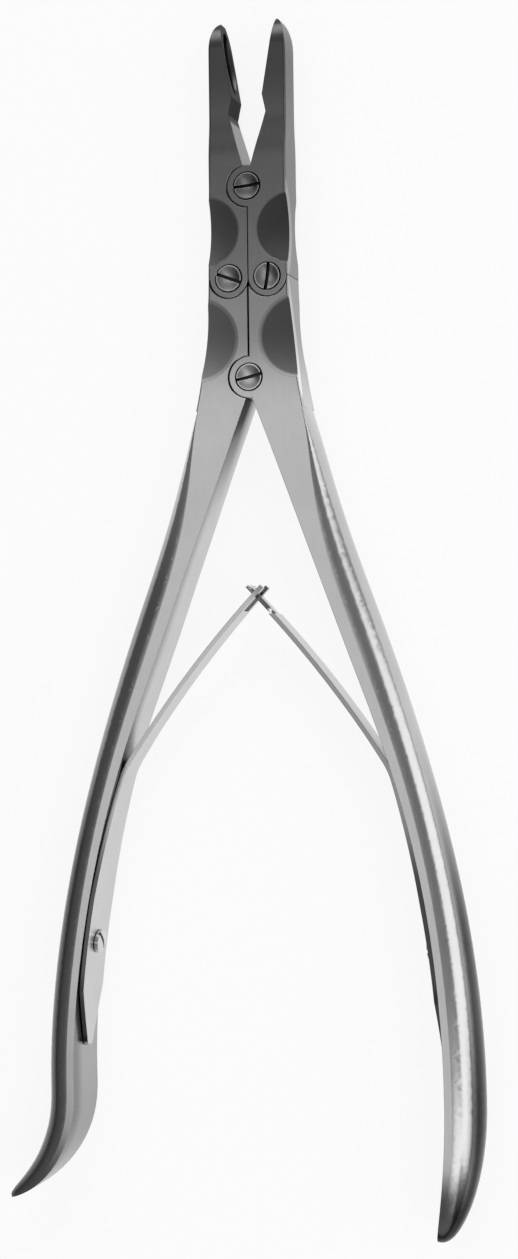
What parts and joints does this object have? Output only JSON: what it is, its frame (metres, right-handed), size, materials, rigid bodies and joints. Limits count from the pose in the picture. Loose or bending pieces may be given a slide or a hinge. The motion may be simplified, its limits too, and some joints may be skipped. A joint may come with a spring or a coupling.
{
  "type": "bone rongeur",
  "caption": "Double-action bone rongeur: cupped jaws on a lapped linkage of slotted pivots, long curved handles, and crossing leaf springs that hold the jaws open.",
  "frame": {"origin": "on the handle pivot's axis, in the flat back face of the joint", "axes": "+Y from the handle pivot to the jaws, +X to the right handle as the picture shows it, +Z along the pivots to the screw heads"},
  "size_m": [0.0927, 0.225, 0.0123],
  "materials": {
    "handle_steel": "satin, ground lengthwise",
    "jaw_steel": "satin, darker in the hollow-ground scoops",
    "screw_steel": "polished",
    "spring_steel": "satin"
  },
  "bodies": {
    "left_handle": {"left_handle": "handle_steel", "handle_pivot_screw": "screw_steel", "left_link_screw": "screw_steel", "left_spring_screw": "screw_steel"},
    "right_handle": {"right_handle": "handle_steel", "right_link_screw": "screw_steel", "right_spring_screw": "screw_steel"},
    "left_jaw": {"left_jaw": "jaw_steel", "jaw_pivot_screw": "screw_steel"},
    "right_jaw": {"right_jaw": "jaw_steel"},
    "left_spring": {"left_spring": "spring_steel"},
    "right_spring": {"right_spring": "spring_steel"}
  },
  "joints": [
    {"name": "handle_pivot", "type": "hinge", "parent": "left_handle", "child": "right_handle", "pos_m": [0, 0, 0.00375], "axis": [0, 0, -1], "range_deg": [0, 17.74], "stiffness_Nm_per_rad": 4, "springref_deg": -8.59},
    {"name": "left_jaw_link", "type": "hinge", "parent": "left_handle", "child": "left_jaw", "pos_m": [-0.00373, 0.01856, 0.00375], "axis": [0, 0, -1], "range_deg": [0, 18.57]},
    {"name": "right_jaw_link", "type": "hinge", "parent": "right_handle", "child": "right_jaw", "pos_m": [0.00373, 0.01856, 0.00375], "axis": [0, 0, 1], "range_deg": [0, 18.57]},
    {"name": "left_spring_flex", "type": "hinge", "parent": "left_handle", "child": "left_spring", "pos_m": [-0.0255, -0.07293, 0.00375], "axis": [0, 0, 1], "range_deg": [0, 9.46], "deforming": ["left_spring"]},
    {"name": "right_spring_flex", "type": "hinge", "parent": "right_handle", "child": "right_spring", "pos_m": [0.0255, -0.07293, 0.00375], "axis": [0, 0, -1], "range_deg": [0, 9.46], "deforming": ["right_spring"]}
  ],
  "couplings": [
    {"joint": "left_jaw_link", "follows": "handle_pivot", "ratio": 1.0467},
    {"joint": "right_jaw_link", "follows": "handle_pivot", "ratio": 1.0467},
    {"joint": "left_spring_flex", "follows": "handle_pivot", "ratio": 0.533},
    {"joint": "right_spring_flex", "follows": "handle_pivot", "ratio": 0.533}
  ]
}
